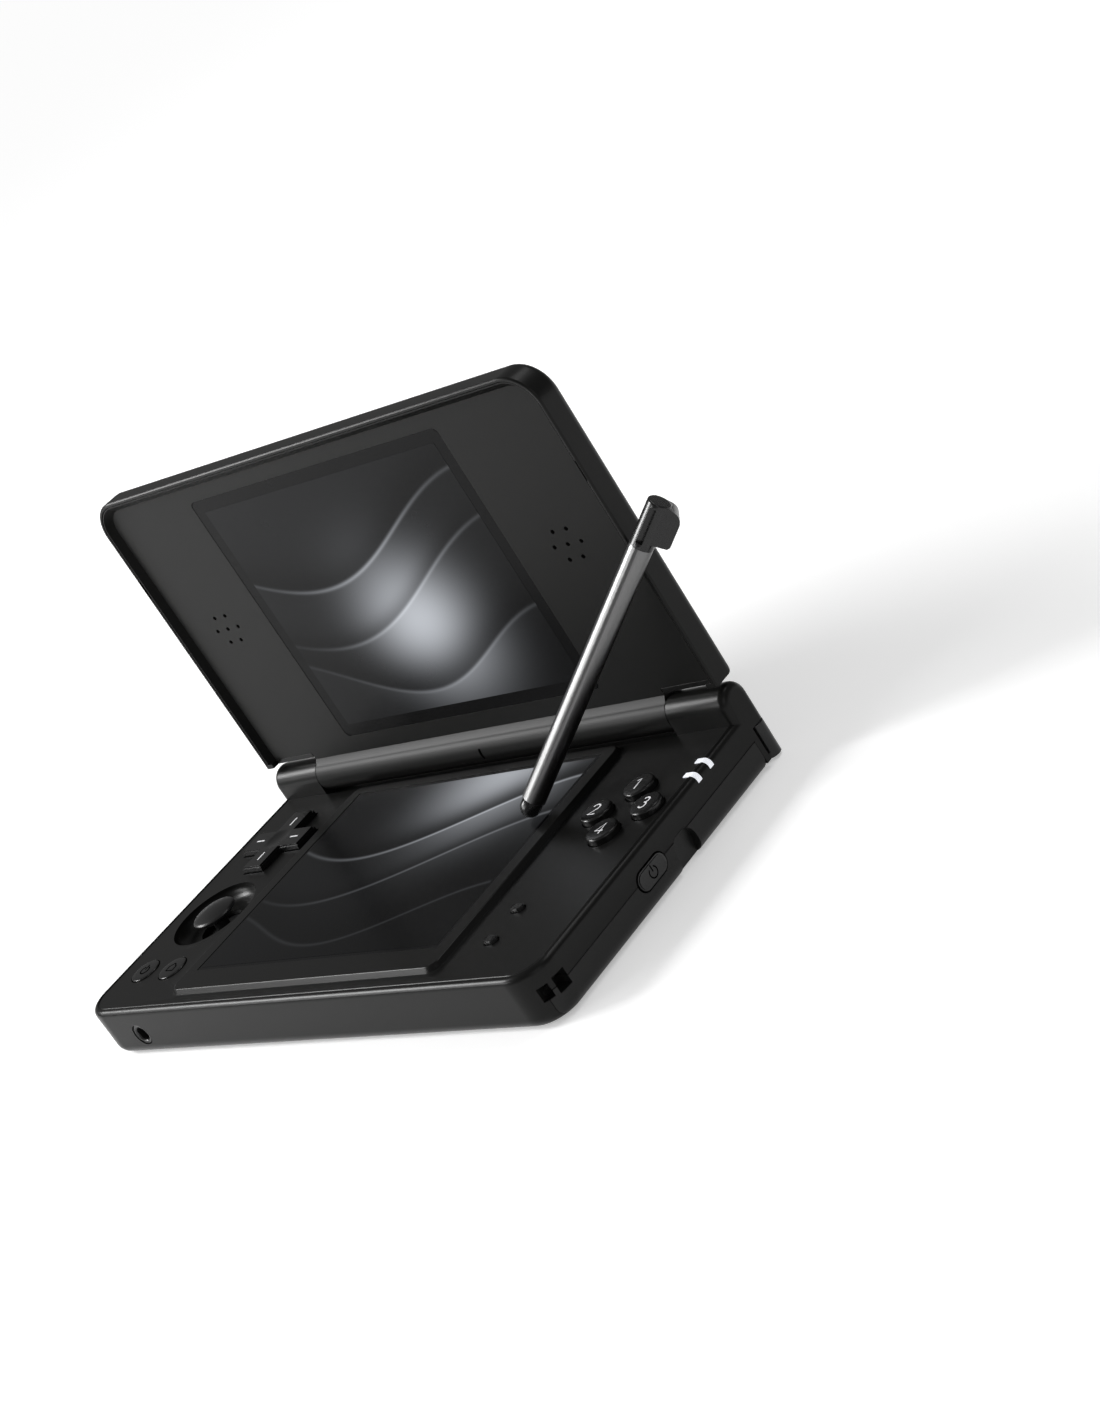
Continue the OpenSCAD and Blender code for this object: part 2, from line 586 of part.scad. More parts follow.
module shoulder_body() color(button_plastic) difference() {
  union() {
    difference() {
      round_block(shoulder_in + 0.5, half_w, shoulder_y + 1.2, rear_y, 0.5, shoulder_top - 0.5, rear_r);
      box(shoulder_in, half_w - 2.4, shoulder_y, rear_y - 2, 1.9, shoulder_top - 1.9);
    }
    box(shoulder_in + 0.5, shoulder_in + 3.6, shoulder_y + 1.6, rear_y - 0.4, 1.9, shoulder_top - 0.5);
  }
  translate([shoulder_pivot[0], shoulder_pivot[1], -1]) cylinder(r = pin_r + running, h = 14);
  // room for the tab below and for the spring
  box(shoulder_in, shoulder_in + 4.6, shoulder_y, rear_y + 1, -1, 1.9);
  box(shoulder_in, shoulder_in + 4.6, shoulder_y, rear_y - 0.5, 4.4, 7);
}
module shoulder_button_right() shoulder_body();
module shoulder_button_left() mirror([1, 0, 0]) shoulder_body();

// ---- lid, drawn closed and then opened ----

cover_edge = 2.6;         // rounding of the lid's outer edge
cover_side = concat([[3, lid_rim_z], [0.35, lid_rim_z], [0, lid_rim_z + 0.35]],
  arc(cover_edge, lid_out_z - cover_edge, cover_edge, 180, 90, 7), [[3, lid_out_z]]);
tab_y = hinge_y - barrel_r - 1.3;
seat_y = tab_y - 1.2;
frame_edge = 0.95;
crease_y = hinge_y - 5.1;
crease_z = hinge_z - 2.4;
frame_slope = 2;          // run from the rim to the sunken face
frame_side = [[3, lid_face_z], [frame_slope, lid_face_z], [0.45, lid_rim_z + 0.12], [0.15, lid_rim_z + 0.12],
  [0, lid_rim_z + 0.35], [0, frame_back_z], [3, frame_back_z]];

module lid_cover() color(black_plastic) on_open_lid() difference() {
  edged_plate(body_w, front_y, tab_y + 5, corner_r, 3.2, cover_side, 3, lid_rim_z, lid_out_z);
  // the rear edge is straight, and rounded only on the outside
  rotate([90, 0, 90]) linear_extrude(body_w + 2, center = true)
    polygon(concat([[tab_y + 6, lid_rim_z - 1], [tab_y, lid_rim_z - 1]],
      arc(tab_y - cover_edge, lid_out_z - cover_edge, cover_edge, 0, 90, 7),
      [[tab_y - cover_edge, lid_out_z + 1], [tab_y + 6, lid_out_z + 1]]));
  round_block(0.9 - half_w, half_w - 0.9, front_y + 0.9, 10, lid_rim_z - 1, cover_in_z, corner_r - 0.9);
  box(0.9 - half_w, half_w - 0.9, 0, seat_y, lid_rim_z - 1, cover_in_z);
  box(-ear_x, ear_x, seat_y, tab_y + 1, lid_rim_z - 1, lid_out_z + 1);
  // the face runs out over the rear wall between the sloping rims
  box(frame_edge + frame_slope - half_w, half_w - frame_edge - frame_slope, seat_y - 1, tab_y + 1,
    lid_rim_z - 1, lid_face_z);
  // notches for prising the lid open
  both_sides() box(half_w - 1.1, half_w - 0.55, -23.5, -18.3, lid_rim_z - 1, lid_rim_z + 1.2);
}

module lid_frame() color(black_plastic) on_open_lid() difference() {
  union() {
    difference() {
      edged_plate(body_w - 2 * frame_edge, front_y + frame_edge, seat_y + 5, corner_r - frame_edge, 3.25,
        frame_side, 3, lid_face_z, frame_back_z);
      box(-half_w, half_w, seat_y - fit, seat_y + 6, lid_rim_z, lid_out_z);
    }
    along_x(-barrel_half, barrel_half, hinge_y, hinge_z, barrel_r);
    // slanting strip in the crease between the face and the barrel, from crease_y into the barrel
    rotate([90, 0, 90]) linear_extrude(2 * barrel_half, center = true)
      polygon([[crease_y, lid_face_z], [crease_y + 1.63, crease_z], [hinge_y, crease_z],
        [hinge_y, frame_back_z], [crease_y, frame_back_z]]);
    box(-barrel_half, barrel_half, seat_y - 6, hinge_y, lid_face_z, frame_back_z);
    box(-barrel_half, barrel_half, seat_y + fit, hinge_y, lid_face_z, lid_out_z);
  }
  round_block(-lens_w / 2 - fit, lens_w / 2 + fit, lens_y - lens_h / 2 - fit, lens_y + lens_h / 2 + fit,
    lid_rim_z - 1, frame_back_z - 0.55, 1.6);
  box(-screen_w / 2 - 0.8, screen_w / 2 + 0.8, lens_y - screen_h / 2 - 0.8, lens_y + screen_h / 2 + 0.8,
    lid_rim_z, frame_back_z + 1);
  both_sides() speaker_holes(speaker_y, lid_rim_z, 0.55, 5);
  along_x(46.8, barrel_half + 1, hinge_y, hinge_z, cartridge_r + 0.02);
  along_x(-barrel_half - 1, -50, hinge_y, hinge_z, sleeve_r + running + 0.01);
  // microphone slot and the pocket behind it
  translate([-0.4, hinge_y - 1.5, hinge_z - barrel_r - 1]) cube([0.8, 3, 4]);
  translate([0, hinge_y, hinge_z - 2.2]) cylinder(r = 2.05, h = 4);
}

speaker_y = -4.6;
speaker_x = 62;
speaker_pitch = 4.23;

// Seven holes, two over three over two
module speaker_holes(y, z, r, h) {
  for (row = [-1:1], i = [0:(row == 0 ? 2 : 1)])
    translate([speaker_x + (i - (row == 0 ? 1 : 0.5)) * speaker_pitch, y + row * speaker_pitch * sin(60), z])
      cylinder(r = r, h = h);
}

module upper_lens() color(glass_black) on_open_lid()
  round_block(-lens_w / 2, lens_w / 2, lens_y - lens_h / 2, lens_y + lens_h / 2,
    lid_face_z + 0.08, frame_back_z - 0.6, 1.55);

module upper_display() color(glass_black) on_open_lid()
  box(-44.5, 44.5, lens_y - 33.5, lens_y + 33.5, frame_back_z + 0.05, frame_back_z + 2.1);

module speaker() color(dark_plastic) on_open_lid() translate([speaker_x, speaker_y, frame_back_z + 0.05])
  rotate_extrude() polygon([[0, 0.4], [4.6, 0.4], [5.4, 0], [7.4, 0], [7.4, 1.2], [4, 2.3], [0, 2.3]]);
module speaker_right() speaker();
module speaker_left() mirror([1, 0, 0]) speaker();

module microphone() color(steel) on_open_lid()
  translate([0, hinge_y, hinge_z - 2.1]) cylinder(r = 2, h = 1.7);

module hinge_cartridge() color(steel) on_open_lid() difference() {
  along_x(46.9, barrel_half - 0.1, hinge_y, hinge_z, cartridge_r);
  along_x(48, barrel_half + 1, hinge_y, hinge_z, shaft_r + running);
}

// ---- stylus, drawn along Z from its tip and then leant on the lid's edge ----

stylus_at = [38.68, 10.71, plateau_z + 2.45]; // centre of its rounded tip
stylus_lean = 51.345;       // from upright
stylus_heading = 30.575;   // of the lean, anticlockwise from +X
cap_turn = 7.1;            // of the cap's fin round the shaft
stylus_r = stylus_d / 2;
tip_r = 2.4;
tip_len = 4.5;
cap_len = 10.9;

module as_stylus() translate(stylus_at) rotate([0, 0, stylus_heading]) rotate([0, stylus_lean, 0])
  translate([0, 0, -tip_r]) children();

module stylus_tip() color(dark_plastic) as_stylus()
  rotate_extrude() polygon(concat(arc(0, tip_r, tip_r, -90, 0, 8),
    [[tip_r, tip_len], [1.6, tip_len], [1.6, tip_len + 2.4], [0, tip_len + 2.4]]));

module stylus_shaft() color(steel) as_stylus() difference() {
  translate([0, 0, tip_len + 0.1]) cylinder(r = stylus_r, h = stylus_len - cap_len - tip_len - 0.1);
  translate([0, 0, tip_len - 0.6]) cylinder(r = 1.65, h = 3.1);
  translate([0, 0, stylus_len - cap_len - 4]) cylinder(r = 1.9, h = 5);
}

// Cap with a fin to pull it by
fin_x = stylus_r + 2.6;
module stylus_cap() color(dark_plastic) as_stylus()
  translate([0, 0, stylus_len - cap_len]) rotate([0, 0, cap_turn]) difference() {
    union() {
      rotate_extrude() polygon(concat([[0, -3.8], [1.85, -3.8], [1.85, 0.05], [stylus_r, 0.05]],
        arc(stylus_r - 0.4, cap_len - 0.4, 0.4, 0, 90, 3), [[0, cap_len]]));
      rotate([90, 0, 0]) linear_extrude(4.9, center = true)
        polygon(concat([[-1, 1.6], [fin_x - 0.5, 2], [fin_x, 2.6]],
          arc(fin_x - 2.8, cap_len - 3.2, 2.8, 0, 90, 6), [[0.4, cap_len - 0.05], [-1, cap_len - 0.05]]));
    }
    translate([-1.9, -4, 1.3]) cube([1.4, 2.5, cap_len - 2.5]);
  }

base_top_shell();
base_bottom_shell();
touch_panel();
lower_display();
main_board();
battery();
button_membranes();
stick_base();
headphone_socket();
charge_port();
card_slot();
status_windows();
housing_screws();
hinge_shaft();
hinge_sleeve();
shoulder_pins();
shoulder_springs();
face_button_top();
face_button_right();
face_button_bottom();
face_button_left();
dpad_pivot();
dpad();
stick_carriage();
thumbstick();
start_button();
select_button();
menu_button_left();
menu_button_right();
power_button();
volume_rocker();
shoulder_button_left();
shoulder_button_right();
lid_cover();
lid_frame();
upper_lens();
upper_display();
speaker_left();
speaker_right();
microphone();
hinge_cartridge();
display_flex();
stylus_shaft();
stylus_tip();
stylus_cap();
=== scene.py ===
# Looks of the folding handheld console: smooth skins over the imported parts, pictures on the
# screens, markings, lights and the camera of the photograph. Metres, in the part's own frame.
import json
import math

import bmesh
import bpy
import numpy as np
from mathutils import Matrix, Vector


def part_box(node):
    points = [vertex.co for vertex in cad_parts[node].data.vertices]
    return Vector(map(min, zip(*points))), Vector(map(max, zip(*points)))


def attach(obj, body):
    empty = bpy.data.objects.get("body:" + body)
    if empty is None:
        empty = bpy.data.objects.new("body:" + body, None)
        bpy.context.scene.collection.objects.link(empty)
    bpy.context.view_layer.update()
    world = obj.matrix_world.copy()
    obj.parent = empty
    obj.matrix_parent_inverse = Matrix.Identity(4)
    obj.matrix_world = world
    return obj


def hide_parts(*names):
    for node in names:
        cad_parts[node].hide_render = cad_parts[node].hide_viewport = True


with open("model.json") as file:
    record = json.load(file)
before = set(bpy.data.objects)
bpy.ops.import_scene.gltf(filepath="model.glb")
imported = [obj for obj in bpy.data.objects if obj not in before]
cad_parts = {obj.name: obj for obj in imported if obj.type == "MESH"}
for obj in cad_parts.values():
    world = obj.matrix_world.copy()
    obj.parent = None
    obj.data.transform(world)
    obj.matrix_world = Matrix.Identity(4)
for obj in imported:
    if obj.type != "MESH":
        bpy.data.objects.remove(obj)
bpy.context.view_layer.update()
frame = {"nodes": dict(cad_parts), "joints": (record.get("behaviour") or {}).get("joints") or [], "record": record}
nodes = frame["nodes"]
mm = 0.001
print("frame loaded:", len(nodes), "parts")

# What each finish looks like. grain is the size of its specks and relief their height, both in
# metres; colorSpread and glossSpread say how far colour and roughness stray from the middle.
finishes = {
    "satinCase": {"color": (0.0072, 0.0072, 0.0069), "roughness": 0.3, "specular": 0.15,
                  "grain": 0.32 * mm, "relief": 0.010 * mm, "colorSpread": 0.18, "glossSpread": 0.04},
    "mattLidFace": {"color": (0.0085, 0.0085, 0.0081), "roughness": 0.4, "specular": 0.13,
                    "grain": 0.36 * mm, "relief": 0.012 * mm, "colorSpread": 0.18, "glossSpread": 0.04},
    "mattLidSlope": {"color": (0.0085, 0.0085, 0.0081), "roughness": 0.5, "specular": 0.06,
                     "grain": 0.36 * mm, "relief": 0.012 * mm, "colorSpread": 0.18, "glossSpread": 0.04},
    "mattUnderside": {"color": (0.0085, 0.0085, 0.0083), "roughness": 0.42, "specular": 0.24,
                      "grain": 0.4 * mm, "relief": 0.014 * mm, "colorSpread": 0.2, "glossSpread": 0.05},
    "buttonGloss": {"color": (0.006, 0.006, 0.006), "roughness": 0.24, "specular": 0.4,
                    "grain": 0.6 * mm, "relief": 0.004 * mm, "colorSpread": 0.1, "glossSpread": 0.03},
    "stickRubber": {"color": (0.011, 0.011, 0.011), "roughness": 0.34, "specular": 0.36,
                    "grain": 0.2 * mm, "relief": 0.008 * mm, "colorSpread": 0.15, "glossSpread": 0.05},
    "windowGlass": {"color": (0.0032, 0.0032, 0.0034), "roughness": 0.26, "specular": 0.07,
                    "grain": 9 * mm, "relief": 0.0, "colorSpread": 0.1, "glossSpread": 0.03},
    "touchGlass": {"color": (0.0032, 0.0032, 0.0035), "roughness": 0.22, "specular": 0.11,
                   "grain": 7 * mm, "relief": 0.0, "colorSpread": 0.1, "glossSpread": 0.04},
    "stylusSteel": {"color": (0.16, 0.16, 0.16), "roughness": 0.3, "specular": 0.5, "metallic": 1.0,
                    "grain": 0.5 * mm, "relief": 0.0, "colorSpread": 0.06, "glossSpread": 0.04},
    "plainSteel": {"color": (0.45, 0.45, 0.45), "roughness": 0.33, "specular": 0.5, "metallic": 1.0,
                   "grain": 0.5 * mm, "relief": 0.002 * mm, "colorSpread": 0.08, "glossSpread": 0.06},
    "screwSteel": {"color": (0.1, 0.1, 0.1), "roughness": 0.38, "specular": 0.5, "metallic": 1.0,
                   "grain": 0.3 * mm, "relief": 0.002 * mm, "colorSpread": 0.1, "glossSpread": 0.06},
    "socketBlack": {"color": (0.01, 0.01, 0.01), "roughness": 0.3, "specular": 0.4,
                    "grain": 0.4 * mm, "relief": 0.004 * mm, "colorSpread": 0.1, "glossSpread": 0.05},
    "tipBlack": {"color": (0.007, 0.007, 0.007), "roughness": 0.27, "specular": 0.38,
                 "grain": 0.3 * mm, "relief": 0.004 * mm, "colorSpread": 0.1, "glossSpread": 0.04},
    "boardGreen": {"color": (0.02, 0.12, 0.06), "roughness": 0.5, "specular": 0.4,
                   "grain": 1.2 * mm, "relief": 0.01 * mm, "colorSpread": 0.25, "glossSpread": 0.08},
    "siliconeGrey": {"color": (0.3, 0.31, 0.33), "roughness": 0.6, "specular": 0.3,
                     "grain": 0.6 * mm, "relief": 0.008 * mm, "colorSpread": 0.08, "glossSpread": 0.05},
    # the white print also glows a little: painted light that makes the marks brighter than the lamps alone would
    "printWhite": {"color": (0.8, 0.8, 0.82), "roughness": 0.4, "specular": 0.3, "glow": 0.22,
                   "grain": 0.2 * mm, "relief": 0.0, "colorSpread": 0.04, "glossSpread": 0.05},
    "printDark": {"color": (0.0012, 0.0012, 0.0012), "roughness": 0.6, "specular": 0.0,
                  "grain": 0.2 * mm, "relief": 0.0, "colorSpread": 0.1, "glossSpread": 0.05},
    "windowLight": {"color": (0.85, 0.87, 0.92), "roughness": 0.3, "specular": 0.4, "glow": 0.5,
                    "grain": 0.6 * mm, "relief": 0.0, "colorSpread": 0.05, "glossSpread": 0.04},
}
grainNoise = {"detail": 2, "bumpStrength": 0.25}


# a finish as a material: one noise on Object coordinates moves colour and roughness about their
# middle, color * (1 +- colorSpread) and roughness +- glossSpread, and lifts the surface as grain
def mixFinish(name, look):
    material = bpy.data.materials.new(name)
    material.use_nodes = True
    tree = material.node_tree
    shader = tree.nodes["Principled BSDF"]
    shader.inputs["Metallic"].default_value = look.get("metallic", 0.0)
    shader.inputs["Specular IOR Level"].default_value = look["specular"]
    if "glow" in look:
        shader.inputs["Emission Color"].default_value = (*look["color"], 1)
        shader.inputs["Emission Strength"].default_value = look["glow"]
    coords = tree.nodes.new("ShaderNodeTexCoord")
    specks = tree.nodes.new("ShaderNodeTexNoise")
    specks.inputs["Scale"].default_value = 1 / look["grain"]
    specks.inputs["Detail"].default_value = grainNoise["detail"]
    gloss = tree.nodes.new("ShaderNodeMapRange")
    gloss.inputs["To Min"].default_value = look["roughness"] - look["glossSpread"]
    gloss.inputs["To Max"].default_value = look["roughness"] + look["glossSpread"]
    tone = tree.nodes.new("ShaderNodeMix")
    tone.data_type = "RGBA"
    for socket, share in (("A", 1 - look["colorSpread"]), ("B", 1 + look["colorSpread"])):
        tone.inputs[socket].default_value = (*(channel * share for channel in look["color"]), 1)
    tree.links.new(coords.outputs["Object"], specks.inputs["Vector"])
    tree.links.new(specks.outputs["Fac"], gloss.inputs["Value"])
    tree.links.new(gloss.outputs["Result"], shader.inputs["Roughness"])
    tree.links.new(specks.outputs["Fac"], tone.inputs["Factor"])
    tree.links.new(tone.outputs["Result"], shader.inputs["Base Color"])
    if look["relief"]:
        bump = tree.nodes.new("ShaderNodeBump")
        bump.inputs["Strength"].default_value = grainNoise["bumpStrength"]
        bump.inputs["Distance"].default_value = look["relief"]
        tree.links.new(specks.outputs["Fac"], bump.inputs["Height"])
        tree.links.new(bump.outputs["Normal"], shader.inputs["Normal"])
    return material


paint = {name: mixFinish(name, look) for name, look in finishes.items()}
print("finishes mixed:", len(paint))

bodyParts = frame["record"]["behaviour"]["bodies"]
bodyOf = {part: body for body, parts in bodyParts.items() for part in parts}

# How a skin is made, with angles in degrees. The flats of wholeFlats become one face each, so that
# small holes in them leave no lines in the gloss.
skinning = {"doubles": 0.002 * mm, "smoothAngle": 32, "bevelSteps": 2, "normalWeight": 90,
            "flatAngle": 0.6, "wholeFlats": ("lid_frame",)}


# a copy of a part's mesh with its doubles merged, its edges bevelled and its flats kept flat
def skinPart(part, material, bevel):
    smoothAngle = math.radians(skinning["smoothAngle"])
    mesh = nodes[part].data.copy()
    mesh.materials.clear()
    mesh.materials.append(material)
    work = bmesh.new()
    work.from_mesh(mesh)
    bmesh.ops.remove_doubles(work, verts=work.verts, dist=skinning["doubles"])
    if part in skinning["wholeFlats"]:
        flatAngle = math.radians(skinning["flatAngle"])
        bmesh.ops.dissolve_limit(work, angle_limit=flatAngle, verts=work.verts, edges=work.edges)
    for face in work.faces:
        face.smooth = True
        face.material_index = 0
    work.to_mesh(mesh)
    work.free()
    if "sharp_edge" in mesh.attributes:
        mesh.attributes.remove(mesh.attributes["sharp_edge"])
    skin = bpy.data.objects.new(part + "Skin", mesh)
    bpy.context.collection.objects.link(skin)
    if bevel:
        rounding = skin.modifiers.new("edges", "BEVEL")
        rounding.width = bevel
        rounding.segments = skinning["bevelSteps"]
        rounding.limit_method = "ANGLE"
        rounding.angle_limit = smoothAngle
        rounding.use_clamp_overlap = True
    else:
        mesh.set_sharp_from_angle(angle=smoothAngle)
    evenNormals = skin.modifiers.new("evenNormals", "WEIGHTED_NORMAL")
    evenNormals.keep_sharp = True
    evenNormals.weight = skinning["normalWeight"]
    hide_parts(part)
    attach(skin, bodyOf[part])
    return skin


# finish and width of the bevel, in mm, for every part that shows
skins = {
    "base_top_shell": ("satinCase", 0.12), "base_bottom_shell": ("mattUnderside", 0.1),
    "lid_cover": ("satinCase", 0.12), "lid_frame": ("mattLidFace", 0.1),
    "upper_lens": ("windowGlass", 0.1), "touch_panel": ("touchGlass", 0.06),
    "face_button_top": ("buttonGloss", 0.1), "face_button_right": ("buttonGloss", 0.1),
    "face_button_bottom": ("buttonGloss", 0.1), "face_button_left": ("buttonGloss", 0.1),
    "dpad": ("buttonGloss", 0.18), "thumbstick": ("stickRubber", 0.08),
    "start_button": ("buttonGloss", 0.1), "select_button": ("buttonGloss", 0.1),
    "menu_button_left": ("buttonGloss", 0.1), "menu_button_right": ("buttonGloss", 0.1),
    "power_button": ("buttonGloss", 0.15), "volume_rocker": ("buttonGloss", 0.15),
    "shoulder_button_left": ("buttonGloss", 0.15), "shoulder_button_right": ("buttonGloss", 0.15),
    "status_windows": ("windowLight", 0), "headphone_socket": ("socketBlack", 0),
    "housing_screws": ("screwSteel", 0.05), "stylus_shaft": ("stylusSteel", 0),
    "stylus_tip": ("tipBlack", 0), "stylus_cap": ("tipBlack", 0.2),
}
skinOf = {part: skinPart(part, paint[finish], bevel * mm) for part, (finish, bevel) in skins.items()}

# the slopes at both sides of the lid's inner face are duller than the face between them; they are
# the faces whose normal leans sideways by these shares and points to the front
slopeNormal = {"leastAside": 0.1, "mostAside": 0.9, "front": -0.3}
frameMesh = skinOf["lid_frame"].data
frameMesh.materials.append(paint["mattLidSlope"])
facing = np.zeros(len(frameMesh.polygons) * 3)
frameMesh.polygons.foreach_get("normal", facing)
facing = facing.reshape(-1, 3)
aside = np.abs(facing[:, 0])
onSlope = (aside > slopeNormal["leastAside"]) & (aside < slopeNormal["mostAside"])
onSlope &= facing[:, 1] < slopeNormal["front"]
frameMesh.polygons.foreach_set("material_index", onSlope.astype(np.int32))
print("slope faces:", int(onSlope.sum()))

# parts inside the housing keep their own mesh
innerFinish = {
    "main_board": "boardGreen", "battery": "siliconeGrey", "button_membranes": "siliconeGrey",
    "hinge_shaft": "plainSteel", "hinge_sleeve": "plainSteel", "hinge_cartridge": "plainSteel",
    "shoulder_pins": "plainSteel", "shoulder_springs": "plainSteel", "charge_port": "plainSteel",
    "card_slot": "plainSteel", "stick_carriage": "plainSteel", "microphone": "plainSteel",
    "stick_base": "socketBlack", "dpad_pivot": "socketBlack", "speaker_left": "socketBlack",
    "speaker_right": "socketBlack", "display_flex": "socketBlack", "lower_display": "socketBlack",
    "upper_display": "socketBlack",
}
for part, finish in innerFinish.items():
    slots = nodes[part].data.materials
    slots.clear()
    slots.append(paint[finish])
print("parts finished:", len(skins) + len(innerFinish))


# falls from 1 to 0 on both sides of a centre line: exp(-(distance / width)^2)
def bell(distance, width):
    return np.exp(-(distance / width) ** 2)


# rises from 0 to 1 over width as a smooth step: t * t * (3 - 2 * t)
def rise(distance, width):
    t = np.clip(distance / width + 0.5, 0, 1)
    return t * t * (3 - 2 * t)


# The screens show slow ribbons of light. A ribbon's line is v = level + swing * sin(2 pi (turns * u
# + phase)); above it lies a shadow that fades over depth, and its crest is a thin bright line.
ribbons = (
    {"level": 0.74, "swing": 0.17, "turns": 0.62, "phase": 0.58,
     "depth": 0.13, "shade": 0.85, "crest": 0.34},
    {"level": 0.52, "swing": 0.2, "turns": 0.55, "phase": 0.63,
     "depth": 0.06, "shade": 0.6, "crest": 0.2},
    {"level": 0.2, "swing": 0.13, "turns": 0.8, "phase": 0.4,
     "depth": 0.16, "shade": 0.8, "crest": 0.12},
)
ribbonEdge = {"shadowRise": 0.012, "crestWidth": 0.007, "crestLeast": 0.12, "crestReach": 1.7}
screens = {
    "upper": {"pool": (0.56, 0.34), "poolSize": 0.25, "poolLight": 0.56, "base": 0.001,
              "cornerLight": 0.008, "middle": (0, -3.65 * mm, 15.68 * mm)},
    "lower": {"pool": (0.66, 1.0), "poolSize": 0.3, "poolLight": 0.4, "base": 0.0005,
              "cornerLight": 0.004},
    "width": 84.8 * mm, "height": 63.8 * mm, "columns": 240, "rows": 180, "lift": 0.03 * mm,
    "tint": (0.93, 0.97, 1.04), "cornerFrom": 0.25, "cornerFade": 1.6, "aspect": 1.33,
}


# brightness at (u, v): base + a round pool of light + light from the upper left, times each
# ribbon's shadow, plus its crest where the pool reaches it
def ribbonPicture(u, v, look):
    reach = np.hypot((u - look["pool"][0]) * screens["aspect"], v - look["pool"][1])
    corner = rise(v - u + screens["cornerFrom"], screens["cornerFade"])
    light = look["base"] + look["poolLight"] * bell(reach, look["poolSize"])
    light = light + look["cornerLight"] * corner
    crestGlow = ribbonEdge["crestLeast"] + bell(reach, ribbonEdge["crestReach"] * look["poolSize"])
    for ribbon in ribbons:
        wave = np.sin(2 * np.pi * (ribbon["turns"] * u + ribbon["phase"]))
        above = v - ribbon["level"] - ribbon["swing"] * wave
        shadow = rise(above, ribbonEdge["shadowRise"]) * bell(above, ribbon["depth"])
        light = light * (1 - ribbon["shade"] * shadow)
        light = light + ribbon["crest"] * bell(above, ribbonEdge["crestWidth"]) * crestGlow
    return np.clip(light, 0, 1)


# points on a grid (rows, columns, 3) become a mesh of quads
def gridMesh(name, points):
    rows, columns = points.shape[:2]
    index = np.arange(rows * columns).reshape(rows, columns)
    quads = np.stack([index[:-1, :-1], index[:-1, 1:], index[1:, 1:], index[1:, :-1]], axis=-1)
    mesh = bpy.data.meshes.new(name)
    mesh.from_pydata(points.reshape(-1, 3).tolist(), [], quads.reshape(-1, 4).tolist())
    mesh.validate()
    return mesh


# a mesh becomes a finished piece that rides a body and has its part's material slot
def addPiece(name, mesh, material, body, smooth=True):
    mesh.materials.append(material)
    for face in mesh.polygons:
        face.use_smooth = smooth
    piece = bpy.data.objects.new(name, mesh)
    bpy.context.collection.objects.link(piece)
    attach(piece, body)
    return piece


pictureGlow = mixFinish("pictureGlow", finishes["windowGlass"])
glowTree = pictureGlow.node_tree
glowShader = glowTree.nodes["Principled BSDF"]
shade = glowTree.nodes.new("ShaderNodeAttribute")
shade.attribute_name = "picture"
glowTree.links.new(shade.outputs["Color"], glowShader.inputs["Emission Color"])
glowShader.inputs["Emission Strength"].default_value = 1.0


# a flat grid over a lit area: corner + u * across + v * upward, coloured by its picture
def lightScreen(name, corner, across, upward, body, look):
    u, v = np.meshgrid(np.linspace(0, 1, screens["columns"]), np.linspace(0, 1, screens["rows"]))
    points = corner + u[..., None] * across + v[..., None] * upward
    light = ribbonPicture(u, v, look)
    tinted = np.stack([light * share for share in screens["tint"]] + [np.ones_like(light)], axis=-1)
    mesh = gridMesh(name, points)
    colors = mesh.color_attributes.new("picture", "FLOAT_COLOR", "POINT")
    colors.data.foreach_set("color", tinted.reshape(-1).astype(np.float32))
    return addPiece(name, mesh, pictureGlow, body)


# the lid's own directions at rest: up along the lid, and out of its inner face
lidJoint = next(joint for joint in frame["joints"] if joint["name"] == "lid_hinge")
hingePoint = np.array(lidJoint["pos_m"])
lidOpen = math.radians(-lidJoint["range_deg"][0])
lidUp = np.array([0, -math.cos(lidOpen), math.sin(lidOpen)])
lidOut = np.array([0, -math.sin(lidOpen), -math.cos(lidOpen)])
ex, ey, ez = np.eye(3)


# a point of the open lid from its place in the closed console
def onLid(x, y, z):
    return np.array([x, hingePoint[1], hingePoint[2]]) \
        + (hingePoint[1] - y) * lidUp + (hingePoint[2] - z) * lidOut


# the low and the high corner of a part's box
def boxOf(part):
    return (np.array(corner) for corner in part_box(part))


# the middle of the top of that box
def topOf(part):
    low, high = boxOf(part)
    return np.array([(low[0] + high[0]) / 2, (low[1] + high[1]) / 2, high[2]])


halfWide, halfTall = screens["width"] / 2, screens["height"] / 2
panelTop = topOf("touch_panel") + ez * screens["lift"]
lightScreen(
    "lowerPicture", panelTop - ex * halfWide - ey * halfTall, ex * screens["width"],
    ey * screens["height"], "base", screens["lower"])
lensTop = onLid(*screens["upper"]["middle"]) + lidOut * screens["lift"]
lightScreen(
    "upperPicture", lensTop - ex * halfWide - lidUp * halfTall, ex * screens["width"],
    lidUp * screens["height"], "lid", screens["upper"])
print("screens lit")


# how far a printed bead keeps its height, and how many steps round it has
bead = {"pressed": 0.1, "steps": 2}


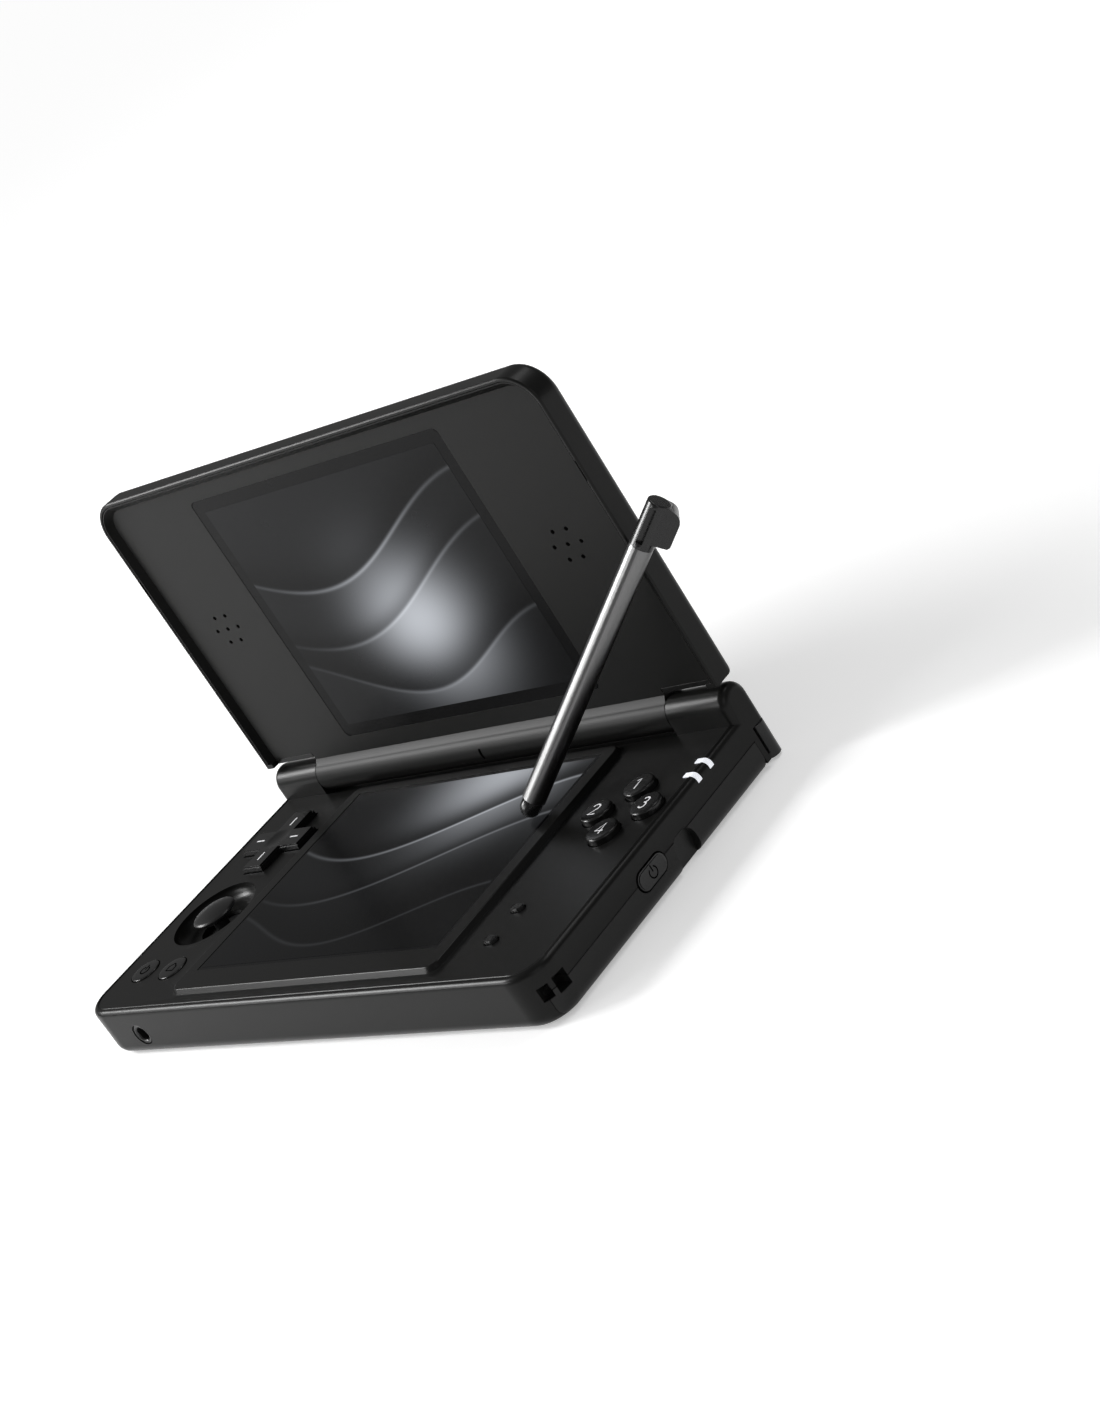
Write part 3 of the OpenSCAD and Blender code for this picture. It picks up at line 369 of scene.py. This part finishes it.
# strokes on a face: each is a list of points in the face's plane, drawn as a round bead that is
# pressed flat along out
def drawStrokes(name, strokes, halfWidth, origin, across, upward, out, part, material):
    curve = bpy.data.curves.new(name, "CURVE")
    curve.dimensions = "3D"
    curve.bevel_depth = halfWidth
    curve.bevel_resolution = bead["steps"]
    curve.use_fill_caps = True
    for points, closed in strokes:
        points = np.asarray(points)
        spline = curve.splines.new("POLY")
        spline.points.add(len(points) - 1)
        rest = np.tile([0.0, 1.0], (len(points), 1))
        spline.points.foreach_set("co", np.hstack([points, rest]).ravel())
        spline.use_cyclic_u = closed
    holder = bpy.data.objects.new(name + "Curve", curve)
    bpy.context.collection.objects.link(holder)
    bpy.context.view_layer.update()
    evaluated = holder.evaluated_get(bpy.context.evaluated_depsgraph_get())
    mesh = bpy.data.meshes.new_from_object(evaluated)
    bpy.data.objects.remove(holder)
    pressed = np.array(out) * bead["pressed"]
    mesh.transform(Matrix((
        (across[0], upward[0], pressed[0], origin[0]), (across[1], upward[1], pressed[1], origin[1]),
        (across[2], upward[2], pressed[2], origin[2]), (0, 0, 0, 1))))
    mesh.materials.clear()
    mesh.name = name
    return addPiece(name, mesh, material, bodyOf[part], smooth=False)


# an arc about a centre, with angles in degrees
def arcPoints(centre, radius, start, end, count=20):
    angle = np.radians(np.linspace(start, end, count))
    return np.column_stack([centre[0] + radius * np.cos(angle), centre[1] + radius * np.sin(angle)])


# plain numerals on the four face buttons, drawn in mm about the middle of a button
numeral = {"halfWidth": 0.2 * mm}
digitStrokes = {
    "face_button_top": ("numeralOne", [[(-0.8, 1.1), (0.1, 1.75), (0.1, -1.75)]]),
    "face_button_left": ("numeralTwo", [
        np.vstack([arcPoints((0, 0.75), 1.0, 165, -30, 14), [(-1.05, -1.7), (1.15, -1.7)]])]),
    "face_button_right": ("numeralThree", [
        np.vstack([arcPoints((0, 0.88), 0.87, 150, -90, 14),
                   arcPoints((0, -0.86), 0.94, 90, -150, 14)])]),
    "face_button_bottom": ("numeralFour", [[(0.5, -1.75), (0.5, 1.75), (-1.15, -0.75), (1.2, -0.75)]]),
}
for part, (name, strokes) in digitStrokes.items():
    scaled = [(np.asarray(points) * mm, False) for points in strokes]
    drawStrokes(
        name, scaled, numeral["halfWidth"], topOf(part), ex, ey, ez, part, paint["printWhite"])

# a short line along each arm of the pad
padMark = {"reach": 6.8 * mm, "halfLong": 1.5 * mm, "halfWidth": 0.26 * mm}
padStrokes = []
for turn in range(4):
    direction = np.round([math.cos(turn * math.pi / 2), math.sin(turn * math.pi / 2)])
    ends = [direction * (padMark["reach"] + side * padMark["halfLong"]) for side in (-1, 1)]
    padStrokes.append((ends, False))
drawStrokes(
    "padLines", padStrokes, padMark["halfWidth"], topOf("dpad"), ex, ey, ez, "dpad",
    paint["printWhite"])

ringBar = {"steps": 28, "barFoot": 0.1 * mm}


# an open ring from start to end, in degrees, with a short bar through its gap
def ringAndBar(ring):
    return [
        (arcPoints((0, 0), ring["radius"], ring["start"], ring["end"], ringBar["steps"]), False),
        ([(0, ringBar["barFoot"]), (0, ring["barTop"])], False),
    ]


powerMark = {"radius": 1.25 * mm, "start": -235, "end": 55, "barTop": 1.75 * mm, "halfWidth": 0.17 * mm}
powerLow, powerHigh = boxOf("power_button")
powerMiddle = (powerLow + powerHigh) / 2
powerFace = np.array([powerHigh[0], powerMiddle[1], powerMiddle[2]])
drawStrokes(
    "powerSign", ringAndBar(powerMark), powerMark["halfWidth"], powerFace, ey, ez, ex,
    "power_button", paint["printDark"])

# plus and minus on the volume rocker, about the middle of its face
volumeMark = {"y": 8 * mm, "z": 6.9 * mm, "reach": 4 * mm, "half": 1.1 * mm, "halfWidth": 0.18 * mm}
volumeLow = next(boxOf("volume_rocker"))
volumeFace = np.array([volumeLow[0], volumeMark["y"], volumeMark["z"]])
reach, half = volumeMark["reach"], volumeMark["half"]
volumeStrokes = [
    ([(reach - half, 0), (reach + half, 0)], False),
    ([(-reach - half, 0), (-reach + half, 0)], False),
    ([(-reach, -half), (-reach, half)], False),
]
drawStrokes(
    "volumeSigns", volumeStrokes, volumeMark["halfWidth"], volumeFace, -ey, ez, -ex,
    "volume_rocker", paint["printDark"])

menuMark = {"radius": 1.3 * mm, "start": -240, "end": 60, "barTop": 1.9 * mm, "halfWidth": 0.17 * mm,
            "house": ((-1.3, -1.1), (1.3, -1.1), (1.3, 0.4), (0, 1.6), (-1.3, 0.4))}
menuStrokes = {
    "menu_button_left": ("menuRing", ringAndBar(menuMark)),
    "menu_button_right": ("menuHouse", [(np.array(menuMark["house"]) * mm, True)]),
}
for part, (name, strokes) in menuStrokes.items():
    drawStrokes(
        name, strokes, menuMark["halfWidth"], topOf(part), ex, ey, ez, part, paint["printDark"])
print("markings drawn")

# Plain pale floor. It glows where it is seen or mirrored, a little near the console and more far
# off, so that the backdrop is white and the console keeps its shadow.
stage = {"reach": 6.0, "drop": 0.2 * mm, "color": (0.86, 0.86, 0.86), "roughness": 0.9,
         "specular": 0.1, "nearGlow": 0.34, "farGlow": 0.8, "farFrom": 1.4, "worldLight": 0.2}
side = stage["reach"]
floorMesh = bpy.data.meshes.new("floor")
corners = [(x * side, y * side, -stage["drop"]) for x, y in ((-1, -1), (1, -1), (1, 1), (-1, 1))]
floorMesh.from_pydata(corners, [], [(0, 1, 2, 3)])
paleFloor = bpy.data.materials.new("paleFloor")
paleFloor.use_nodes = True
floorTree = paleFloor.node_tree
floorShader = floorTree.nodes["Principled BSDF"]
floorShader.inputs["Base Color"].default_value = (*stage["color"], 1)
floorShader.inputs["Roughness"].default_value = stage["roughness"]
floorShader.inputs["Specular IOR Level"].default_value = stage["specular"]
floorShader.inputs["Emission Color"].default_value = (1, 1, 1, 1)
rays = floorTree.nodes.new("ShaderNodeLightPath")
seen = [floorTree.nodes.new("ShaderNodeMath") for _ in range(2)]
for step in seen:
    step.operation = "MAXIMUM"
floorTree.links.new(rays.outputs["Is Camera Ray"], seen[0].inputs[0])
floorTree.links.new(rays.outputs["Is Glossy Ray"], seen[0].inputs[1])
floorTree.links.new(seen[0].outputs[0], seen[1].inputs[0])
floorTree.links.new(rays.outputs["Is Transmission Ray"], seen[1].inputs[1])
floorCoords = floorTree.nodes.new("ShaderNodeTexCoord")
away = floorTree.nodes.new("ShaderNodeVectorMath")
away.operation = "LENGTH"
fade = floorTree.nodes.new("ShaderNodeMapRange")
fade.inputs["From Max"].default_value = stage["farFrom"]
fade.inputs["To Min"].default_value = stage["nearGlow"]
fade.inputs["To Max"].default_value = stage["farGlow"]
glow = floorTree.nodes.new("ShaderNodeMath")
glow.operation = "MULTIPLY"
floorTree.links.new(floorCoords.outputs["Object"], away.inputs[0])
floorTree.links.new(away.outputs["Value"], fade.inputs["Value"])
floorTree.links.new(fade.outputs["Result"], glow.inputs[0])
floorTree.links.new(seen[1].outputs[0], glow.inputs[1])
floorTree.links.new(glow.outputs[0], floorShader.inputs["Emission Strength"])
floorMesh.materials.append(paleFloor)
floor = bpy.data.objects.new("floor", floorMesh)
bpy.context.collection.objects.link(floor)

world = bpy.data.worlds.new("studio")
bpy.context.scene.world = world
world.use_nodes = True
background = world.node_tree.nodes["Background"]
background.inputs["Color"].default_value = (1, 1, 1, 1)
background.inputs["Strength"].default_value = stage["worldLight"]

# soft boxes: place, the point they face, width, height and power in watts
lamps = {
    "leftSoftbox": ((-0.77, -0.32, 0.61), (0, 0, 0.03), 0.32, 0.3, 8.5),
    "frontSoftbox": ((-0.7, -0.77, 0.42), (0, 0, 0.04), 0.6, 0.24, 4.2),
    "topSoftbox": ((0.25, 0.45, 0.85), (0, 0, 0.03), 0.7, 0.3, 2.2),
    "rightFill": ((0.9, -0.5, 0.5), (0, 0, 0.04), 0.5, 0.5, 1.1),
}
for name, (place, target, width, height, power) in lamps.items():
    lamp = bpy.data.lights.new(name, "AREA")
    lamp.shape = "RECTANGLE"
    lamp.size = width
    lamp.size_y = height
    lamp.energy = power
    holder = bpy.data.objects.new(name, lamp)
    bpy.context.collection.objects.link(holder)
    holder.location = place
    holder.rotation_euler = (Vector(target) - Vector(place)).to_track_quat("-Z", "Y").to_euler()

# the photograph's camera: its place, its right and up directions and its lens
view = {"place": (0.4847, -0.3325, 0.2363), "right": (0.6721, 0.5327, -0.5144),
        "up": (0.1246, 0.6035, 0.7876), "lens": 69.65, "sensor": 36, "nearest": 10 * mm}
camera = bpy.data.cameras.new("photoCamera")
camera.lens = view["lens"]
camera.sensor_width = view["sensor"]
camera.clip_start = view["nearest"]
cameraHolder = bpy.data.objects.new("photoCamera", camera)
bpy.context.collection.objects.link(cameraHolder)
right, up = Vector(view["right"]), Vector(view["up"])
turned = Matrix((right, up, right.cross(up))).transposed().to_4x4()
cameraHolder.matrix_world = Matrix.Translation(view["place"]) @ turned
bpy.context.scene.camera = cameraHolder
bpy.context.scene.view_settings.view_transform = "Standard"

print("scene ready")
